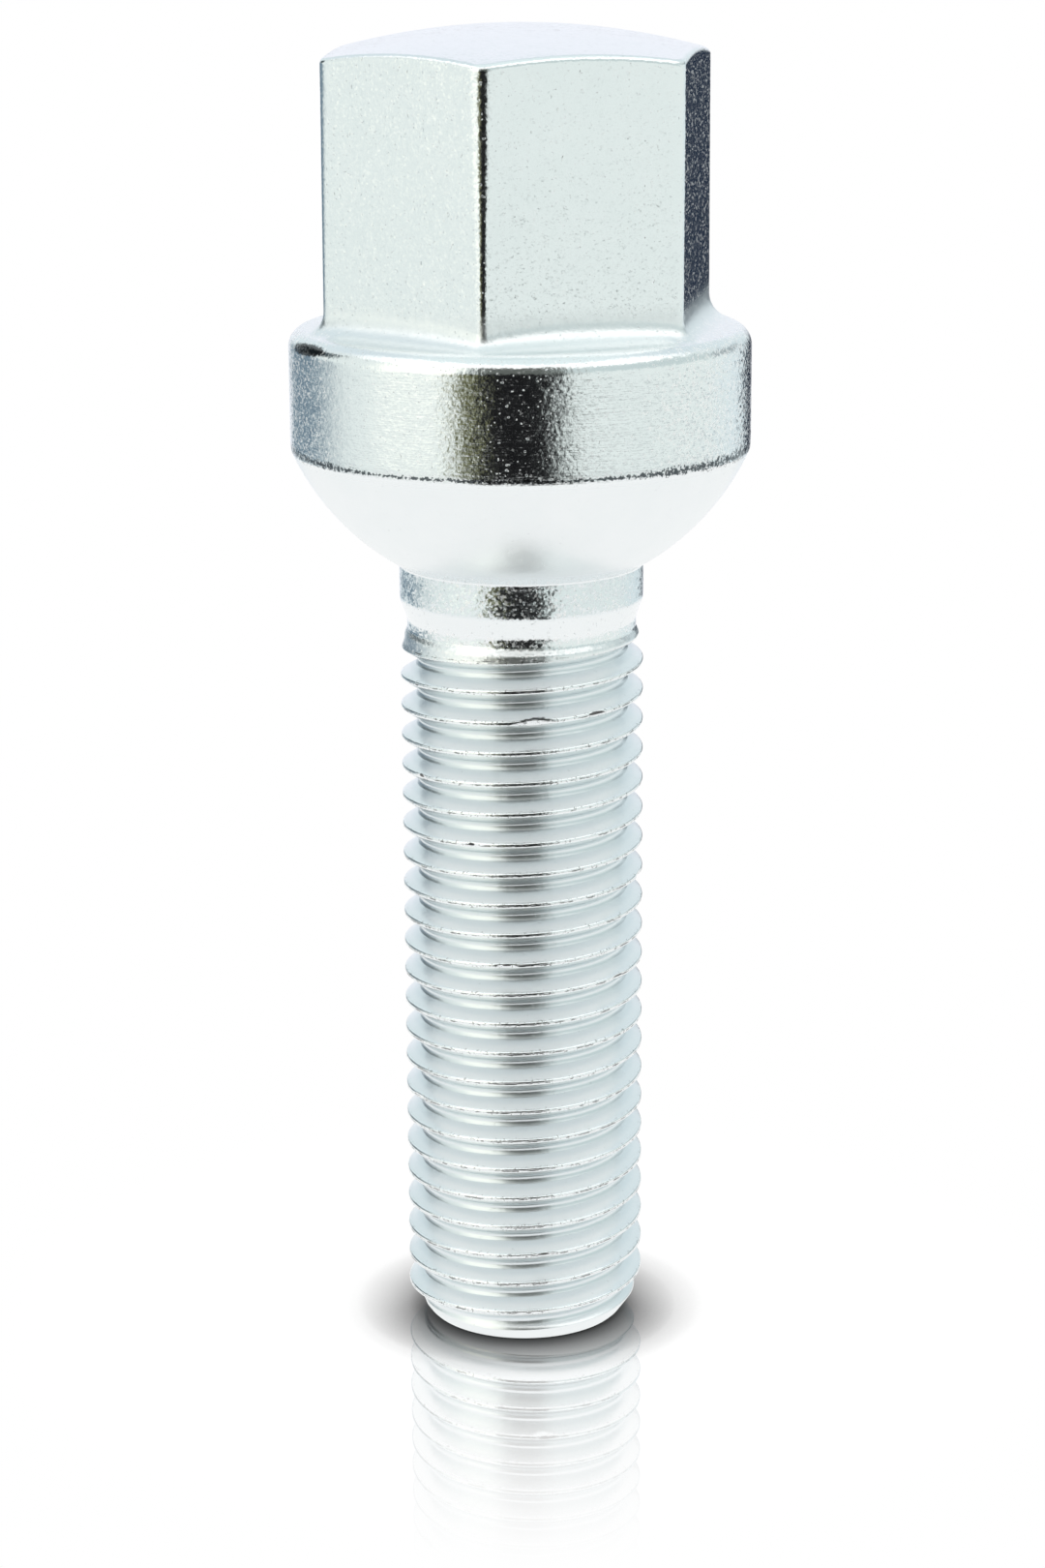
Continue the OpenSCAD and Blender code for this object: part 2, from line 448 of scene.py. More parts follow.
def turned_body(surface, ring, fillet):
    """Neck, ball seat and collar. On the ball, the columns turn from even steps to the head's."""
    head_angles = np.degrees(np.arctan2(fillet.radial[:, 1], fillet.radial[:, 0]))
    shift = (head_angles - EVEN_ANGLES + 180) % 360 - 180
    for radius, z in neck_section():
        ring = surface.grow(ring, turned_ring(radius, z, EVEN_ANGLES))
    for radius, z in hollow_section():
        ring = surface.grow(ring, turned_ring(radius, z, EVEN_ANGLES + shift * 0.02))
    ball_start = math.asin((LAND_R + HOLLOW_R) / (SEAT_R + HOLLOW_R))
    for share in np.linspace(0.04, 1, 15):
        a = ball_start + (BALL_END - ball_start) * share
        radius, z = SEAT_R * math.sin(a), SEAT_Z - SEAT_R * math.cos(a)
        ring = surface.grow(ring, turned_ring(radius, z, EVEN_ANGLES + shift * share))
    for radius, z in collar_section():
        ring = surface.grow(ring, turned_ring(radius, z, EVEN_ANGLES + shift))
    return ring


def collar_top_and_fillet(surface, ring, fillet):
    """From the collar's side in over its edge and top, and up the fillet to the hexagon."""
    for share in (1, 0.93, 0.86, 0.78, 0.69, 0.59, 0.48, 0.36, 0.24, 0.12):
        ring = surface.grow(ring, fillet.collar_top(share))
    for share in np.linspace(1, 0, 11):
        ring = surface.grow(ring, fillet.points(share))
    return ring


def hexagon_and_dome(surface, ring, fillet):
    """The upright walls, the soft rim and the domed top."""
    rim_xy = outline(corner_radius(CORNER_HEIGHTS[1])) - RIM_R * NORMAL
    rim_z = DOME_Z + np.sqrt((DOME_R - RIM_R) ** 2 - (rim_xy**2).sum(-1))
    for share in np.linspace(0, 1, 25)[1:]:
        z = fillet.centre_z + (rim_z - fillet.centre_z) * share
        ring = surface.grow(ring, with_z(outline(corner_radius(z)), z))
    rim = with_z(rim_xy, rim_z)
    dome_normal = with_z(rim_xy, rim_z - DOME_Z) / (DOME_R - RIM_R)
    for share in np.linspace(0, 1, 7)[1:]:
        ring = surface.grow(ring, rim + RIM_R * turn_between(with_z(NORMAL, 0), dome_normal, share))
    edge_xy = (rim + RIM_R * dome_normal)[:, :2]
    for share in (0.97, 0.92, 0.85, 0.76, 0.65, 0.53, 0.4, 0.27, 0.15, 0.06):
        xy = edge_xy * share
        ring = surface.grow(ring, with_z(xy, DOME_Z + np.sqrt(DOME_R**2 - (xy**2).sum(-1))))
    surface.fan(ring, (0, 0, BOLT_LEN), upward=True)


def build_bolt():
    """The whole bolt as one closed surface, from the end face up to the dome."""
    surface = Surface()
    low_ring, high_ring = thread_grid(surface)
    end_face(surface, low_ring)
    fillet = Fillet()
    ring = turned_body(surface, high_ring, fillet)
    ring = collar_top_and_fillet(surface, ring, fillet)
    hexagon_and_dome(surface, ring, fillet)
    return surface


def weighted_normals(points, faces):
    """Normals in which a face counts by its area, so that flats stay flat at their edges."""
    normals = np.zeros_like(points)
    for count in (3, 4):
        chosen = np.array([face for face in faces if len(face) == count])
        p = points[chosen]
        if count == 3:
            area = np.cross(p[:, 1] - p[:, 0], p[:, 2] - p[:, 0])
        else:
            area = np.cross(p[:, 2] - p[:, 0], p[:, 3] - p[:, 1])
        for corner in range(count):
            np.add.at(normals, chosen[:, corner], area)
    return normals / np.linalg.norm(normals, axis=-1, keepdims=True)


def make_object(surface, name):
    """A smooth-shaded object from a surface in millimetres."""
    points = np.array(surface.points, float)
    mesh = bpy.data.meshes.new(name)
    mesh.from_pydata((points * MM).tolist(), [], surface.faces)
    mesh.validate()
    mesh.polygons.foreach_set("use_smooth", np.ones(len(mesh.polygons), bool))
    mesh.normals_split_custom_set_from_vertices(weighted_normals(points, surface.faces).tolist())
    mesh.update()
    made = bpy.data.objects.new(name, mesh)
    bpy.context.scene.collection.objects.link(made)
    return made


class Nodes:
    """Short calls for making and joining shader nodes. Each input is a value or an output."""

    def __init__(self, tree):
        self.tree = tree
        tree.nodes.clear()

    def add(self, kind, settings=None, **inputs):
        """Makes a node. An underscore in the name of an input stands for a space."""
        made = self.tree.nodes.new(kind)
        for key, value in (settings or {}).items():
            setattr(made, key, value)
        for key, value in inputs.items():
            self.set(made, key.replace("_", " "), value)
        return made

    def set(self, made, key, value):
        """Sets or links an input by its name, or by its number as in i0."""
        numbered = key[0] == "i" and key[1:].isdigit()
        socket = made.inputs[int(key[1:])] if numbered else made.inputs[key]
        if isinstance(value, bpy.types.NodeSocket):
            self.tree.links.new(value, socket)
        elif isinstance(value, bpy.types.Node):
            self.tree.links.new(value.outputs[0], socket)
        else:
            socket.default_value = value

    def finish(self, kind, shader):
        """Makes the output node of a material or a world."""
        self.add(kind, Surface=shader)

    def math(self, operation, *values, clamp=False):
        made = self.add("ShaderNodeMath", {"operation": operation, "use_clamp": clamp})
        for i, value in enumerate(values):
            self.set(made, f"i{i}", value)
        return made.outputs[0]

    def plus(self, a, b):
        return self.math("ADD", a, b)

    def minus(self, a, b):
        return self.math("SUBTRACT", a, b)

    def times(self, a, b):
        return self.math("MULTIPLY", a, b)

    def over(self, a, b):
        return self.math("DIVIDE", a, b)

    def times_plus(self, a, factor, extra):
        return self.math("MULTIPLY_ADD", a, factor, extra)

    def larger(self, a, b):
        return self.math("MAXIMUM", a, b)

    def absolute(self, a):
        return self.math("ABSOLUTE", a)

    def vector(self, operation, *values):
        """Vector maths. Only a dot product and a length give a number."""
        made = self.add("ShaderNodeVectorMath", {"operation": operation})
        for i, value in enumerate(values):
            self.set(made, "Scale" if operation == "SCALE" and i == 1 else f"i{i}", value)
        return made.outputs[1 if operation in ("DOT_PRODUCT", "LENGTH") else 0]

    def step(self, value, low, high, start=0.0, end=1.0):
        """A smooth step from start to end while the value goes from low to high."""
        limits = {"From_Min": low, "From_Max": high, "To_Min": start, "To_Max": end}
        smoothed = {"interpolation_type": "SMOOTHSTEP"}
        return self.add("ShaderNodeMapRange", smoothed, Value=value, **limits).outputs[0]

    def between(self, value, low, low_full, high_full, high):
        """From none at low to full at low_full, and from full at high_full back to none at high."""
        return self.times(self.step(value, low, low_full), self.step(value, high, high_full))

    def mix(self, share, a, b):
        """Colour a at share 0 and b at 1. The node takes its colours in inputs 6 and 7."""
        made = self.add("ShaderNodeMix", {"data_type": "RGBA"})
        for key, value in (("i0", share), ("i6", a), ("i7", b)):
            self.set(made, key, value)
        return made.outputs[2]

    def noise(self, vector, scale, detail=2.0, roughness=0.5):
        inputs = {"Vector": vector, "Scale": scale, "Detail": detail, "Roughness": roughness}
        return self.add("ShaderNodeTexNoise", **inputs).outputs[0]

    def place(self):
        """The place on the object, in millimetres."""
        return self.vector("SCALE", self.add("ShaderNodeTexCoord").outputs["Object"], 1 / MM)

    def from_axis(self, place):
        """Distance of a place from the Z axis."""
        return self.vector("LENGTH", self.vector("MULTIPLY", place, (1, 1, 0)))


class Steel:
    """The layers of the plated steel, each worked out from the place on the bolt in millimetres."""

    def __init__(self, nodes):
        self.nodes = nodes
        self.place = nodes.place()
        self.x, self.y, self.z = nodes.add("ShaderNodeSeparateXYZ", Vector=self.place).outputs
        self.radius = nodes.from_axis(self.place)
        self.ragged = nodes.noise(self.place, 5.5, 3.0, 0.6)
        self.find_thread_zones()
        self.find_head_zones()

    def shifted_noise(self, shift, scale, detail, roughness=0.5):
        """Noise that is read at another place, so that it doesn't follow its neighbours."""
        there = self.nodes.vector("ADD", self.place, shift)
        return self.nodes.noise(there, scale, detail, roughness)

    def find_thread_zones(self):
        """Masks of the thread, the neck and the satin parts."""
        nodes, z, radius = self.nodes, self.z, self.radius
        crest_heights = nodes.between(z, 1.2, 1.7, 34.8, 35.0)
        self.on_crests = nodes.times(crest_heights, nodes.step(radius, 5.55, 5.7))
        groove_heights = nodes.between(z, 0.6, 1.2, 35.2, 35.5)
        self.in_grooves = nodes.times(nodes.step(radius, 5.6, 5.3), groove_heights)
        low, high = CONE_TOP_Z, LAND_TOP_Z
        land_heights = nodes.between(z, low - 0.1, low + 0.1, high - 0.1, high)
        self.on_land = nodes.times(nodes.step(radius, 5.83, 5.87), land_heights)
        # The land, and the run-out with the plain blank over it
        self.on_neck = nodes.larger(self.on_land, nodes.between(z, 34.3, 34.6, 35.8, 36.0))
        # The thread's grooves and the ball have a smooth satin surface
        satin = nodes.larger(nodes.step(z, 35.6, 35.2), nodes.between(z, 38.6, 39.0, 43.9, 44.2))
        inner = nodes.larger(nodes.step(radius, 5.86, 5.80), nodes.step(z, 38.0, 38.6))
        self.satin = nodes.times(satin, inner)

    def find_head_zones(self):
        """Masks of the collar, the fillet and the flats."""
        nodes, z = self.nodes, self.z
        widest = nodes.step(self.radius, 10.7, 10.95)
        self.on_collar = nodes.times(widest, nodes.step(z, 49.3, 48.9))
        self.on_fillet = nodes.between(z, 49.6, 50.0, 50.9, 51.9)
        self.on_flats = nodes.step(z, 50.4, 52.0)
        aside = nodes.absolute(self.x)
        # The two flats across X
        self.on_side_flats = nodes.times(nodes.step(aside, 8.36, 8.42), self.on_flats)
        # The collar's two ends across X, where the plating is coarser
        towards_ends = nodes.step(aside, 6.5, 10.2)
        self.at_ends = nodes.times(towards_ends, nodes.between(z, 43.9, 44.2, 50.0, 50.4))

    def thread_marks(self):
        """The seam that rolling leaves along each crest, darkened with painted shade, and the crumbs
        beside it.
        """
        nodes = self.nodes
        turn = nodes.over(nodes.math("ARCTAN2", self.y, self.x), 2 * math.pi)
        share = nodes.minus(nodes.over(self.z, PITCH), nodes.minus(turn, START_ANGLE / 360))
        # Distance along the axis from the nearest crest, which wanders a little
        drift = nodes.times_plus(self.ragged, 0.09, 0.015)
        from_crest = nodes.times(nodes.math("WRAP", share, 0.5, -0.5), PITCH)
        crest_gap = nodes.absolute(nodes.plus(from_crest, drift))
        patches = nodes.step(nodes.noise(self.place, 1.6, 3.0, 0.65), 0.46, 0.60)
        half_width = nodes.times_plus(patches, 0.042, 0.014)
        # The seam's mask: a small dent in the relief, and painted shade and dark reflection in the
        # colour
        seam_and_shade = nodes.minus(1.0, nodes.step(crest_gap, 0.0, half_width))
        seam_and_shade = nodes.times(nodes.times(seam_and_shade, self.on_crests), nodes.times_plus(patches, 0.80, 0.20))
        band = nodes.minus(1.0, nodes.step(crest_gap, 0.10, 0.22))
        crumbs = nodes.step(self.shifted_noise((3, 7, 1), 6.5, 2.0, 0.6), 0.60, 0.68)
        crumbs = nodes.times(nodes.times(crumbs, band), self.on_crests)
        return seam_and_shade, crumbs

    def relief(self, seam_and_shade):
        """Height of the grain, of the collar's turned lines and of the seam, in millimetres."""
        nodes = self.nodes
        pebbles = nodes.times(nodes.noise(self.place, 7.0, 1.0), 0.007)
        grit = nodes.noise(self.place, 3.6)
        grit = nodes.times(grit, nodes.times_plus(self.on_collar, 0.006, 0.007))
        specks = nodes.step(self.shifted_noise((9, 4, 2), 7.0, 0.0), 0.76, 0.82)
        height = nodes.minus(nodes.plus(pebbles, grit), nodes.times(specks, 0.014))
        height = nodes.times(height, nodes.times_plus(self.satin, -0.65, 1.0))
        height = nodes.plus(height, nodes.times(nodes.noise(self.place, 1.5, 1.0), 0.012))
        drawn_out = nodes.vector("MULTIPLY", self.place, (0.7, 0.7, 13.0))
        lines = nodes.times(nodes.noise(drawn_out, 1.0, 3.0, 0.6), 0.008)
        height = nodes.plus(height, nodes.times(lines, self.on_collar))
        return nodes.minus(height, nodes.times(seam_and_shade, 0.006))

    def crystal_tilt(self):
        """The plating's crystals, each with a small tilt of its own."""
        nodes = self.nodes
        strength = nodes.times_plus(self.on_neck, 0.11, 0.03)
        strength = nodes.times_plus(self.satin, -0.012, strength)
        strength = nodes.times_plus(self.on_collar, 0.025, strength)
        strength = nodes.times_plus(self.at_ends, 0.12, strength)
        strength = nodes.times_plus(self.on_flats, 0.07, strength)
        crystals = nodes.add("ShaderNodeTexVoronoi", Vector=self.place, Scale=8.5).outputs["Color"]
        return nodes.vector("SCALE", nodes.vector("SUBTRACT", crystals, (0.5, 0.5, 0.5)), strength)

    def glints(self):
        """Crystals that scatter the light instead of mirroring it, drawn out on the side flats."""
        nodes = self.nodes
        stretch_y = nodes.times_plus(self.on_side_flats, -0.68, 1.0)
        stretch = nodes.add("ShaderNodeCombineXYZ", X=1.0, Y=stretch_y, Z=1.0)
        drawn_out = nodes.vector("MULTIPLY", self.place, stretch)
        crystals = nodes.add("ShaderNodeTexVoronoi", Vector=drawn_out, Scale=10.0).outputs["Color"]
        share = nodes.times_plus(self.on_side_flats, 0.16, 0.03)
        share = nodes.times_plus(self.on_neck, 0.12, share)
        share = nodes.times_plus(self.at_ends, 0.27, share)
        picked = nodes.plus(nodes.add("ShaderNodeSeparateXYZ", Vector=crystals).outputs[0], share)
        turned = nodes.larger(nodes.step(self.z, 44.0, 44.3), self.on_neck)
        covered = nodes.times(turned, nodes.step(self.z, 62.7, 62.2))
        glint = nodes.times(nodes.step(picked, 0.98, 1.06), covered)
        strength = nodes.times_plus(self.on_flats, -0.2, 0.36)
        strength = nodes.times_plus(self.on_side_flats, 0.40, strength)
        return nodes.times(nodes.times(glint, strength), nodes.times_plus(self.at_ends, 0.7, 1.0))

    def painted_corner_shade(self):
        """Painted shade in the corner between the collar and the ball, broken up and widest at the
        sides.
        """
        nodes = self.nodes
        edge_z = nodes.times_plus(nodes.noise(self.place, 1.3, 3.0, 0.65), 0.16, 44.19)
        gap = nodes.absolute(nodes.minus(self.z, edge_z))
        spread = nodes.times_plus(nodes.step(nodes.absolute(self.x), 5.0, 10.5), 0.20, 0.11)
        uneven = nodes.times_plus(nodes.noise(self.place, 0.6, 3.0, 0.6), 1.2, 0.4)
        sparse = nodes.over(gap, nodes.times(spread, uneven))
        specks = nodes.plus(self.shifted_noise((5, 2, 8), 6.8, 3.0, 0.65), 0.05)
        painted_corner_shade = nodes.step(nodes.times_plus(sparse, -0.20, specks), 0.42, 0.49)
        painted_corner_shade = nodes.times(painted_corner_shade, nodes.step(sparse, 1.4, 1.0))
        return nodes.times(painted_corner_shade, nodes.step(self.radius, 10.5, 10.7))

    def nick(self, angle, height, half_length, half_height, hollow):
        """One dark oval with a ragged edge and the crest's slope: a nick, and at the collar a
        painted reflection.
        """
        nodes = self.nodes
        a = math.radians(CAMERA_SIDE + angle)
        outward = nodes.vector("DOT_PRODUCT", self.place, (math.cos(a), math.sin(a), 0))
        along = nodes.vector("DOT_PRODUCT", self.place, (-math.sin(a), math.cos(a), 0))
        slope = PITCH / (2 * math.pi * CREST_R)
        rise = nodes.times_plus(along, -slope, nodes.minus(self.z, height))
        length, width = nodes.over(along, half_length), nodes.over(rise, half_height)
        offset = nodes.add("ShaderNodeCombineXYZ", X=length, Y=width)
        reach = nodes.minus(nodes.vector("LENGTH", offset), 0.45)
        reach = nodes.times_plus(self.ragged, 0.9, reach)
        nick = nodes.times(nodes.step(reach, 1.15, 0.85), nodes.step(outward, 4, 5))
        if hollow:
            upper_rim = nodes.times(nodes.step(reach, 0.45, 0.7), nodes.step(rise, -0.06, 0.04))
            nick = nodes.times(nick, upper_rim)
        return nick

    def nicks_and_painted_reflection(self):
        """All nicks together, with the painted dark reflection on the collar's edge."""
        nicks_and_painted_reflection = 0.0
        for sizes in NICKS_AND_PAINTED_REFLECTION:
            nicks_and_painted_reflection = self.nodes.larger(nicks_and_painted_reflection, self.nick(*sizes))
        return nicks_and_painted_reflection

    def colour(self, seam_and_shade, crumbs, glint):
        """Pale zinc with faint clouds and pits, then the glints, then dark marks, painted shade and
        a painted reflection.
        """
        nodes = self.nodes
        cloud = nodes.noise(self.place, 0.45, 3.0, 0.6)
        colour = nodes.mix(cloud, (0.84, 0.88, 0.885, 1), (0.89, 0.915, 0.92, 1))
        duller = nodes.larger(self.in_grooves, nodes.times(self.on_land, 0.9))
        colour = nodes.mix(duller, colour, (0.80, 0.85, 0.865, 1))
        pits = nodes.step(self.shifted_noise((31, 17, 5), 3.1, 1.0), 0.245, 0.20)
        colour = nodes.mix(nodes.times(pits, 0.2), colour, (0.42, 0.45, 0.46, 1))
        bright = nodes.math("MULTIPLY", glint, 2.2, clamp=True)
        colour = nodes.mix(bright, colour, (1.0, 1.0, 1.0, 1))
        # Painted shade and dark reflection along the rolled seam
        colour = nodes.mix(nodes.times(seam_and_shade, 0.85), colour, (0.05, 0.05, 0.05, 1))
        # Dark nicks, and the painted dark reflection on the collar's edge
        colour = nodes.mix(nodes.times(self.nicks_and_painted_reflection(), 0.93), colour, (0.04, 0.04, 0.04, 1))
        colour = nodes.mix(nodes.times(crumbs, 0.6), colour, (0.20, 0.21, 0.20, 1))
        # Painted shade in the corner between the collar and the ball
        return nodes.mix(nodes.times(self.painted_corner_shade(), 0.92), colour, (0.05, 0.065, 0.075, 1))

    def roughness(self):
        """Uneven gloss, satin in the grooves and on the ball, and duller on the fillet."""
        nodes = self.nodes
        rough = nodes.times_plus(nodes.noise(self.place, 2.2, 3.0, 0.6), 0.10, 0.11)
        satin = nodes.times_plus(self.satin, 0.285, nodes.times(rough, 0.05))
        rough = nodes.times_plus(self.on_collar, -0.03, nodes.larger(rough, satin))
        return nodes.times_plus(self.on_fillet, 0.16, rough)


def plated_steel():
    """Bright zinc plate: a fine pebbled grain, turned lines on the collar, and the rolled seam."""
    material = bpy.data.materials.new("plated_steel")
    material.use_nodes = True
    nodes = Nodes(material.node_tree)
    steel = Steel(nodes)
    seam_and_shade, crumbs = steel.thread_marks()
    glint = steel.glints()
    bump = nodes.add("ShaderNodeBump", Strength=1.0, Distance=MM, Height=steel.relief(seam_and_shade))
    shader = nodes.add(
        "ShaderNodeBsdfPrincipled",
        Base_Color=steel.colour(seam_and_shade, crumbs, glint),
        Metallic=nodes.minus(1.0, glint),
        Roughness=steel.roughness(),
        Normal=nodes.vector("NORMALIZE", nodes.vector("ADD", bump, steel.crystal_tilt())),
    )
    nodes.finish("ShaderNodeOutputMaterial", shader)
    return material


# Cards and gaps of the studio, which cover each other in this order. The slanted card covers the
# first ones, and the last ones cover it. Each has four azimuths and four elevations in degrees,
# from none to full to none, and its colour.
FIRST_CARDS = [
    ((-40, -27, -20, -12), (-16, -12, 2, 8), (0.15, 0.15, 0.06, 1)),
    ((-38, -20, 22, 54), (-30, -19, -17, -13), (0.05, 0.06, 0.05, 1)),
    ((-31, -19, 18, 34), (-2, 5, 38, 50), (0.12, 0.13, 0.12, 1)),
    ((-27, -15, 13, 28), (-32, -18, 5, 14), (0.008, 0.008, 0.009, 1)),
    ((-165, -152, -130, -86), (-14, -10.5, 0, 6), (0.17, 0.24, 0.30, 1)),
]
LAST_CARDS = [
    ((16, 36, 100, 125), (5, 15, 30, 40), (0.62, 0.71, 0.71, 1)),
    ((104, 122, 132, 150), (4, 10, 16, 24), (0.35, 0.40, 0.42, 1)),
    ((141, 152, 167, 173), (-13, -10.5, -2, 4), (0.004, 0.013, 0.036, 1)),
]


class Studio:
    """The light round the bolt, by its direction in degrees.

    Azimuths go from the camera's side to the right."""

    def __init__(self, nodes):
        self.nodes = nodes
        way = nodes.add("ShaderNodeTexCoord").outputs["Generated"]
        side = math.radians(CAMERA_SIDE)
        front = nodes.vector("DOT_PRODUCT", way, (math.cos(side), math.sin(side), 0))
        right = nodes.vector("DOT_PRODUCT", way, (-math.sin(side), math.cos(side), 0))
        up = nodes.add("ShaderNodeSeparateXYZ", Vector=way).outputs[2]
        self.azimuth = nodes.times(nodes.math("ARCTAN2", right, front), math.degrees(1))
        self.elevation = nodes.times(nodes.math("ARCSINE", up), math.degrees(1))
        self.around = nodes.absolute(self.azimuth)

    def window(self, azimuths, elevations):
        """A soft rectangle of the sky."""
        wide = self.nodes.between(self.azimuth, *azimuths)
        return self.nodes.times(wide, self.nodes.between(self.elevation, *elevations))

    def open_light(self):
        """Pale walls, a brighter light at the left, a bright ring above them and the ceiling."""
        nodes, around = self.nodes, self.around
        behind = nodes.step(around, 100, 140)
        light = nodes.mix(behind, (0.86, 0.92, 0.90, 1), (0.76, 0.85, 0.88, 1))
        lamp = self.window((-84, -66, -36, -26), (-14, 6, 60, 75))
        light = nodes.mix(lamp, light, (1.30, 1.30, 1.18, 1))
        ring = nodes.mix(nodes.step(around, 88, 125), (1.40, 1.40, 1.38, 1), (0.74, 0.83, 0.87, 1))
        light = nodes.mix(nodes.step(self.elevation, 34, 42), light, ring)
        light = nodes.mix(nodes.step(self.elevation, 56, 68), light, (0.85, 0.95, 0.96, 1))
        back_wall = nodes.times(nodes.step(around, 155, 170), nodes.step(self.elevation, 48, 34))
        return nodes.mix(back_wall, light, (0.95, 0.97, 1.04, 1))

    def with_haze(self, light):
        """A grey band where the floor ends far away, and white below it."""
        nodes, around = self.nodes, self.around
        at_right = nodes.step(self.azimuth, -30, 30)
        near = nodes.mix(at_right, (0.80, 0.84, 0.80, 1), (0.40, 0.45, 0.45, 1))
        haze = nodes.mix(nodes.step(around, 60, 110), near, (0.36, 0.42, 0.46, 1))
        band = nodes.between(self.elevation, -23, -18, -17, -12.8)
        light = nodes.mix(nodes.times(band, nodes.step(around, 145, 125)), light, haze)
        return nodes.mix(nodes.step(self.elevation, -18, -24), light, (1.0, 1.0, 1.0, 1))

    def slanted_card(self):
        """A dark card behind the bolt at the left, whose middle rises with the azimuth."""
        nodes = self.nodes
        front_elevation, slant = 65.6, 0.4
        off_middle = nodes.plus(self.elevation, -front_elevation)
        off_middle = nodes.times_plus(self.azimuth, -slant, off_middle)
        tall = nodes.between(off_middle, -11, -6, 7, 12)
        return nodes.times(tall, nodes.between(self.azimuth, -149, -141, -112, -104))

    def light(self):
        """The whole studio, with all its cards."""
        light = self.with_haze(self.open_light())
        for azimuths, elevations, colour in FIRST_CARDS:
            light = self.nodes.mix(self.window(azimuths, elevations), light, colour)
        light = self.nodes.mix(self.slanted_card(), light, (0.05, 0.07, 0.08, 1))
        for azimuths, elevations, colour in LAST_CARDS:
            light = self.nodes.mix(self.window(azimuths, elevations), light, colour)
        return light


def studio_light():
    """White background, also in the floor's mirror, and the studio's light for the bolt."""
    world = bpy.data.worlds.new("studio")
    bpy.context.scene.world = world
    world.use_nodes = True
    nodes = Nodes(world.node_tree)
    path = nodes.add("ShaderNodeLightPath")
    background = nodes.larger(path.outputs["Is Camera Ray"], path.outputs["Is Singular Ray"])
    colour = nodes.mix(background, Studio(nodes).light(), (1, 1, 1, 1))
    light = nodes.add("ShaderNodeBackground", Color=colour, Strength=1.0)
    nodes.finish("ShaderNodeOutputWorld", light)


def camera_way(turn, rise):
    """Direction to the camera's side, turned by an angle in degrees, with a rise as its height."""
    a = math.radians(CAMERA_SIDE + turn)
    return Vector((math.cos(a), math.sin(a), rise))


def floor_mesh():
    """A flat disc, wide enough to fade out all round."""
    radius, rings, sides = 155.0, 12, 96
    points = [(0, 0, 0)]
    for i in range(1, rings + 1):
        for j in range(sides):
            a = 2 * math.pi * j / sides
            reach = radius * i / rings
            points.append((reach * math.cos(a) * MM, reach * math.sin(a) * MM, 0))
    faces = []
    for j in range(sides):
        k = (j + 1) % sides
        faces.append((0, 1 + j, 1 + k))
        for i in range(rings - 1):
            inner, outer = 1 + i * sides, 1 + (i + 1) * sides
            faces.append((inner + j, outer + j, outer + k, inner + k))
    mesh = bpy.data.meshes.new("floor")
    mesh.from_pydata(points, [], faces)
    return mesh


def floor_in_view(nodes, place, reach):
    """White floor with a soft contact shadow, darkest at the camera's side, and a faint mirror."""
    lean = camera_way(180, 2.2).normalized()
    inputs = {"Distance": 4 * MM, "Normal": tuple(lean)}
    near = nodes.add("ShaderNodeAmbientOcclusion", {"samples": 24}, **inputs).outputs["AO"]
    toward = nodes.vector("DOT_PRODUCT", place, tuple(camera_way(0, 0)))
    shadow = nodes.math("POWER", near, nodes.step(toward, -1.5, 5.5, 1.0, 4.3))
    white = nodes.mix(shadow, (0.012, 0.012, 0.013, 1), (1, 1, 1, 1))
    mirror = nodes.step(reach, 30, 5, 0.0, 0.65)
    strength = nodes.times_plus(mirror, -0.95, 1.0)
    glow = nodes.add("ShaderNodeEmission", Color=white, Strength=strength)
    tint = nodes.times(mirror, nodes.math("POWER", near, 2.0))
    grey = nodes.add("ShaderNodeCombineColor", Red=tint, Green=tint, Blue=tint)
    gloss = nodes.add("ShaderNodeBsdfGlossy", Color=grey, Roughness=0.0)
    return nodes.add("ShaderNodeAddShader", i0=glow, i1=gloss)


def floor_in_reflections(nodes, place, reach, clear):
    """Plain white, with a gap at the camera's side, where the dark card goes on below the floor."""
    plain = nodes.add("ShaderNodeEmission", Color=(1, 1, 1, 1), Strength=1.0)
    direction = nodes.vector("NORMALIZE", place)
    toward = nodes.vector("DOT_PRODUCT", direction, tuple(camera_way(3, 0)))
    ends = nodes.times(nodes.step(toward, 0.86, 0.93), nodes.step(reach, 38, 58))
    return nodes.add("ShaderNodeMixShader", i0=ends, i1=plain, i2=clear)


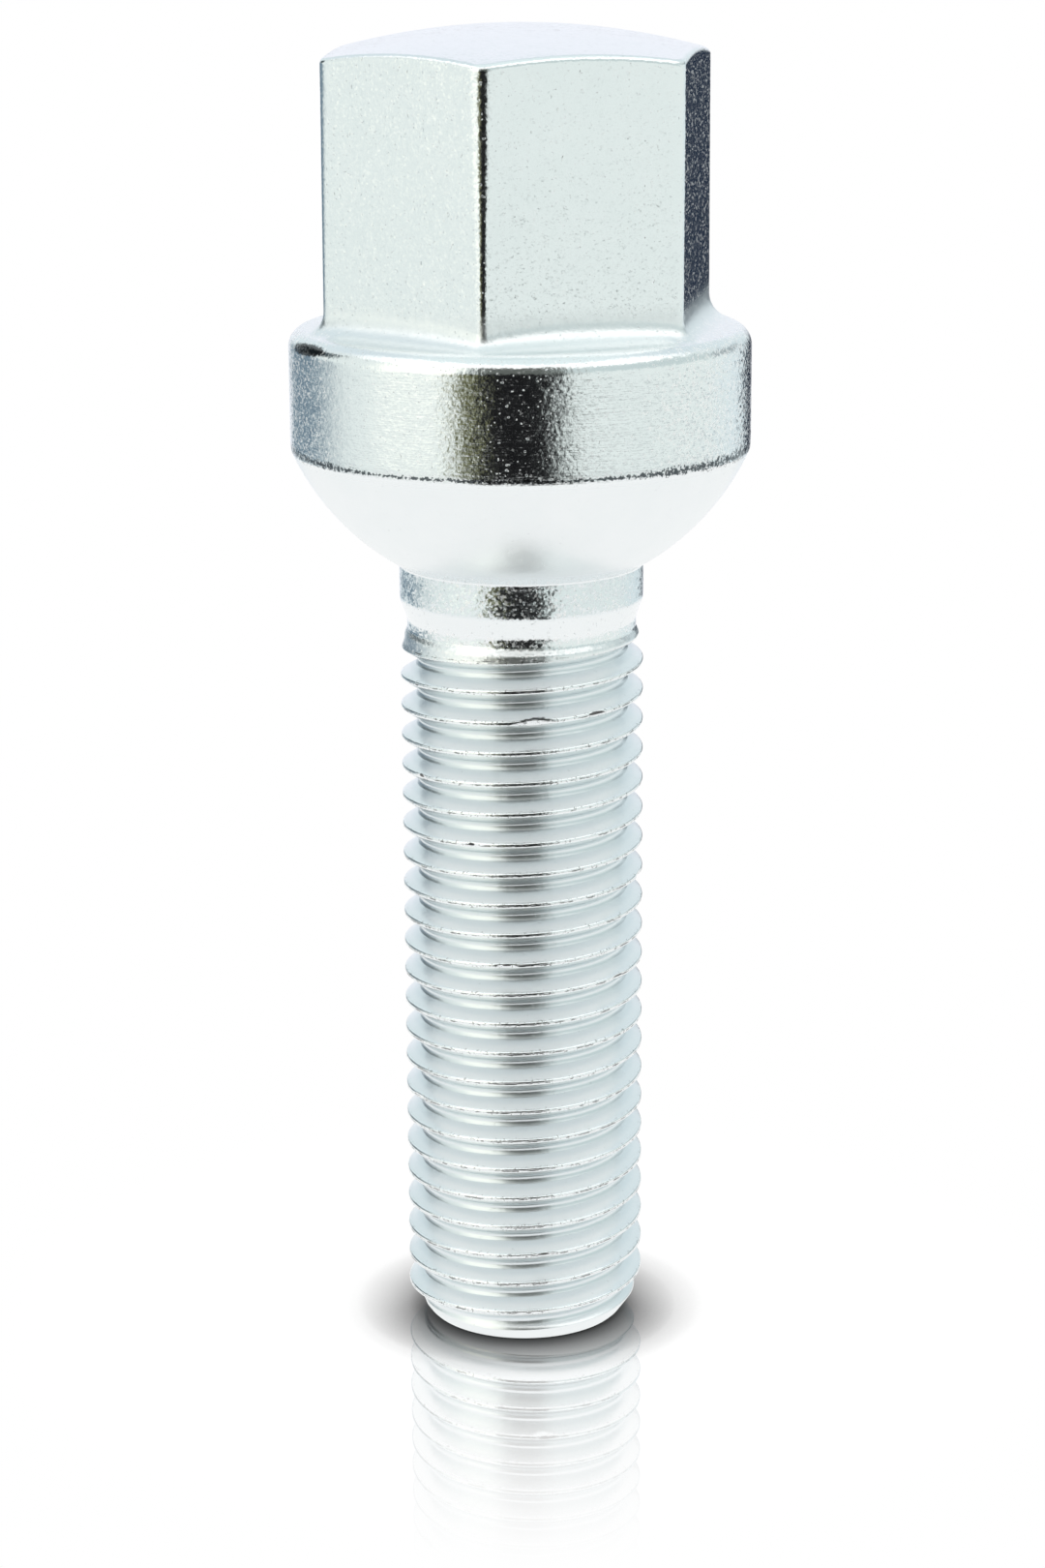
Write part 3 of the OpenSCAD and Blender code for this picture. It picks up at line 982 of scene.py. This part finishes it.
def floor_material():
    """Pale floor whose rim fades into the white background."""
    material = bpy.data.materials.new("floor")
    material.use_nodes = True
    nodes = Nodes(material.node_tree)
    place = nodes.place()
    reach = nodes.from_axis(place)
    clear = nodes.add("ShaderNodeBsdfTransparent")
    seen = floor_in_view(nodes, place, reach)
    reflected = floor_in_reflections(nodes, place, reach, clear)
    in_view = nodes.add("ShaderNodeLightPath").outputs["Is Camera Ray"]
    both = nodes.add("ShaderNodeMixShader", i0=in_view, i1=reflected, i2=seen)
    fade = nodes.add("ShaderNodeMixShader", i0=nodes.step(reach, 124, 153), i1=both, i2=clear)
    nodes.finish("ShaderNodeOutputMaterial", fade)
    return material


def make_floor():
    """The floor lies a little under the bolt, so that the two never share a plane."""
    floor = bpy.data.objects.new("floor", floor_mesh())
    floor.location.z = -0.02 * MM
    floor.data.materials.append(floor_material())
    bpy.context.scene.collection.objects.link(floor)


def make_camera():
    """The photograph's view, looking down at the bolt from its camera side."""
    turn, pitch, roll = (math.radians(a) for a in (CAMERA_TURN, CAMERA_PITCH, CAMERA_ROLL))
    camera = bpy.data.cameras.new("camera")
    camera.sensor_width = SENSOR_MM
    camera.lens = FOCAL_LENGTH / FRAME_HEIGHT * SENSOR_MM
    camera.clip_start, camera.clip_end = 0.01, 10
    made = bpy.data.objects.new("camera", camera)
    side = Vector((math.cos(turn), math.sin(turn), 0))
    away = Vector((-math.sin(turn), math.cos(turn), 0))
    forward = away * math.cos(pitch) - Vector((0, 0, 1)) * math.sin(pitch)
    up = away * math.sin(pitch) + Vector((0, 0, 1)) * math.cos(pitch)
    image_up = up * math.cos(roll) + side * math.sin(roll)
    image_right = side * math.cos(roll) - up * math.sin(roll)
    axes = Matrix((image_right, image_up, -forward)).transposed().to_4x4()
    place = -away * CAMERA_DISTANCE * MM + Vector((0, 0, CAMERA_HEIGHT * MM))
    made.matrix_world = Matrix.Translation(place) @ axes
    bpy.context.scene.collection.objects.link(made)
    bpy.context.scene.camera = made


make_camera()
bolt = make_object(build_bolt(), "bolt")
bolt.data.materials.append(plated_steel())
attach(bolt, "root")
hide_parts("wheel_bolt")
studio_light()
make_floor()
bpy.context.scene.view_settings.view_transform = "Standard"
